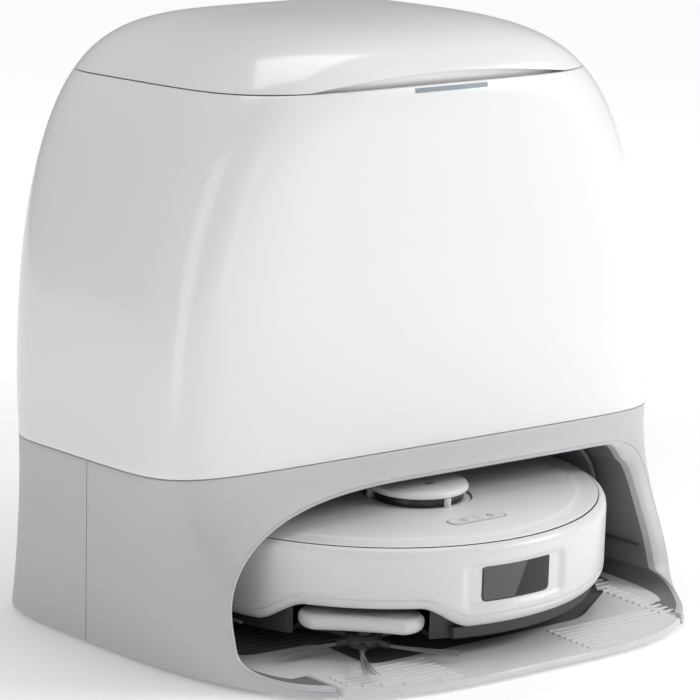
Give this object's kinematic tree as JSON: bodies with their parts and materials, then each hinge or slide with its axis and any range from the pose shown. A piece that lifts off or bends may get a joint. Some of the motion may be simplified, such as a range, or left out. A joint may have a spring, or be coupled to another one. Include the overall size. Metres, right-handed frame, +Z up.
{
  "type": "robot vacuum with dock",
  "caption": "Round robot vacuum and mop parked in a domed self-emptying and washing dock with a lift-up lid, water tanks and sloping tray.",
  "frame": {"origin": "bottom centre of the whole object, on the floor", "axes": "+Z up, the dock opens towards -Y, +X to the right seen from the front"},
  "size_m": [0.468, 0.4436, 0.4546],
  "materials": {
    "shell_white": "high gloss injection moulded white",
    "base_grey": "fine satin light silver grey",
    "liner_grey": "matt mid grey, lightly textured",
    "tray_white": "satin off-white",
    "board_silver": "satin silver grey",
    "steel": "turned steel pin",
    "bar_lens": "smooth grey-blue light diffuser",
    "dark_plastic": "fine textured dark grey",
    "black_plastic": "satin black",
    "clear_plastic": "clear blue tinted tank wall",
    "smoke_plastic": "smoked tank wall",
    "bag_paper": "pleated non-woven filter paper",
    "card_board": "pressed card collar",
    "contact_brass": "nickel and gold plated spring contact",
    "rubber": "matt moulded rubber",
    "robot_white": "semi gloss white",
    "robot_silver": "satin silver grey",
    "black_gloss": "polished black sensor window",
    "bristle_grey": "nylon bristle and moulded hub",
    "mop_fabric": "looped microfibre"
  },
  "bodies": {
    "dock": {"base_front_skirt": "base_grey", "base_rear_shell": "base_grey", "garage_hood": "liner_grey", "wash_tray": "tray_white", "wash_board": "board_silver", "upper_shell": "shell_white", "lid_hinge_pin": "steel", "status_bar": "bar_lens", "tank_deck": "dark_plastic", "clean_water_tank": "clear_plastic", "dirty_water_tank": "smoke_plastic", "clean_tank_cap": "dark_plastic", "dirty_tank_cap": "dark_plastic", "dust_bag": "bag_paper", "dust_bag_card": "card_board", "suction_motor": "dark_plastic", "drying_fan": "dark_plastic", "water_pump": "dark_plastic", "power_inlet": "black_plastic", "exhaust_grille": "liner_grey", "foot_front_left": "rubber", "foot_front_right": "rubber", "foot_rear_left": "rubber", "foot_rear_right": "rubber"},
    "lid": {"top_lid": "shell_white"},
    "clean_handle": {"clean_tank_handle": "dark_plastic"},
    "dirty_handle": {"dirty_tank_handle": "dark_plastic"},
    "contact_left": {"charging_contact_left": "contact_brass"},
    "contact_right": {"charging_contact_right": "contact_brass"},
    "robot": {"robot_chassis": "robot_silver", "robot_cover": "robot_white", "button_bezel": "robot_silver", "lidar_cage": "robot_white", "lidar_cap": "robot_white", "brush_guard": "dark_plastic", "dustbin": "smoke_plastic", "battery": "dark_plastic"},
    "bumper": {"bumper": "robot_white", "bumper_trim": "robot_silver", "sensor_window": "black_gloss"},
    "power_button": {"power_button": "robot_white"},
    "dock_button": {"dock_button": "robot_white"},
    "lidar_rotor": {"lidar_rotor": "black_gloss"},
    "side_brush_arm": {"side_brush_arm": "robot_white"},
    "side_brush": {"side_brush_hub": "bristle_grey"},
    "wheel_arm_left": {"wheel_arm_left": "dark_plastic"},
    "wheel_arm_right": {"wheel_arm_right": "dark_plastic"},
    "drive_wheel_left": {"drive_wheel_left": "rubber"},
    "drive_wheel_right": {"drive_wheel_right": "rubber"},
    "brush_roll": {"brush_roll": "rubber"},
    "caster": {"caster_fork": "dark_plastic"},
    "caster_wheel": {"caster_wheel": "rubber"},
    "mop_left": {"mop_holder_left": "dark_plastic", "mop_pad_left": "mop_fabric"},
    "mop_right": {"mop_holder_right": "dark_plastic", "mop_pad_right": "mop_fabric"}
  },
  "joints": [
    {"name": "lid_hinge", "type": "hinge", "parent": "dock", "child": "lid", "pos_m": [0, 0.1654, 0.4142], "axis": [-1, 0, 0], "range_deg": [0, 80]},
    {"name": "clean_handle_hinge", "type": "hinge", "parent": "dock", "child": "clean_handle", "pos_m": [-0.0895, 0.114, 0.3474], "axis": [-1, 0, 0], "range_deg": [0, 50]},
    {"name": "dirty_handle_hinge", "type": "hinge", "parent": "dock", "child": "dirty_handle", "pos_m": [0.0895, 0.114, 0.3474], "axis": [-1, 0, 0], "range_deg": [0, 50]},
    {"name": "contact_left_slide", "type": "slide", "parent": "dock", "child": "contact_left", "axis": [0, 1, 0], "range_m": [0, 0.003], "stiffness_N_per_m": 300},
    {"name": "contact_right_slide", "type": "slide", "parent": "dock", "child": "contact_right", "axis": [0, 1, 0], "range_m": [0, 0.003], "stiffness_N_per_m": 300},
    {"name": "robot_dock_slide", "type": "slide", "parent": "dock", "child": "robot", "axis": [0, -1, 0], "range_m": [0, 0.45]},
    {"name": "bumper_slide", "type": "slide", "parent": "robot", "child": "bumper", "axis": [0, 0.9989, 0.0466], "range_m": [0, 0.003], "stiffness_N_per_m": 500},
    {"name": "power_button_slide", "type": "slide", "parent": "robot", "child": "power_button", "axis": [0, 0.0466, -0.9989], "range_m": [0, 0.001], "stiffness_N_per_m": 400},
    {"name": "dock_button_slide", "type": "slide", "parent": "robot", "child": "dock_button", "axis": [0, 0.0466, -0.9989], "range_m": [0, 0.001], "stiffness_N_per_m": 400},
    {"name": "lidar_spin", "type": "hinge", "parent": "robot", "child": "lidar_rotor", "pos_m": [0, -0.07214, 0.10543], "axis": [0, -0.0466, 0.9989], "continuous": true},
    {"name": "side_brush_arm_swing", "type": "hinge", "parent": "robot", "child": "side_brush_arm", "pos_m": [-0.079, -0.14997, 0.03573], "axis": [0, -0.0466, 0.9989], "range_deg": [0, 35]},
    {"name": "side_brush_spin", "type": "hinge", "parent": "side_brush_arm", "child": "side_brush", "pos_m": [-0.097, -0.13343, 0.02449], "axis": [0, -0.0466, 0.9989], "continuous": true},
    {"name": "wheel_arm_left_hinge", "type": "hinge", "parent": "robot", "child": "wheel_arm_left", "pos_m": [-0.117, 0.03908, 0.06057], "axis": [-1, 0, 0], "range_deg": [0, 6], "stiffness_Nm_per_rad": 8},
    {"name": "drive_wheel_left_spin", "type": "hinge", "parent": "wheel_arm_left", "child": "drive_wheel_left", "pos_m": [-0.117, -0.0087, 0.05473], "axis": [1, 0, 0], "continuous": true},
    {"name": "wheel_arm_right_hinge", "type": "hinge", "parent": "robot", "child": "wheel_arm_right", "pos_m": [0.117, 0.03908, 0.06057], "axis": [-1, 0, 0], "range_deg": [0, 6], "stiffness_Nm_per_rad": 8},
    {"name": "drive_wheel_right_spin", "type": "hinge", "parent": "wheel_arm_right", "child": "drive_wheel_right", "pos_m": [0.117, -0.0087, 0.05473], "axis": [1, 0, 0], "continuous": true},
    {"name": "brush_roll_spin", "type": "hinge", "parent": "robot", "child": "brush_roll", "pos_m": [0, -0.03589, 0.03655], "axis": [1, 0, 0], "continuous": true},
    {"name": "caster_swivel", "type": "hinge", "parent": "robot", "child": "caster", "pos_m": [0, -0.13826, 0.04228], "axis": [0, -0.0466, 0.9989], "continuous": true},
    {"name": "caster_wheel_spin", "type": "hinge", "parent": "caster", "child": "caster_wheel", "pos_m": [0, -0.1374, 0.0237], "axis": [1, 0, 0], "continuous": true},
    {"name": "mop_left_spin", "type": "hinge", "parent": "robot", "child": "mop_left", "pos_m": [-0.071, 0.07253, 0.03009], "axis": [0, -0.0466, 0.9989], "continuous": true},
    {"name": "mop_right_spin", "type": "hinge", "parent": "robot", "child": "mop_right", "pos_m": [0.071, 0.07253, 0.03009], "axis": [0, -0.0466, 0.9989], "continuous": true}
  ],
  "couplings": [
    {"joint": "mop_right_spin", "follows": "mop_left_spin", "ratio": -1}
  ]
}
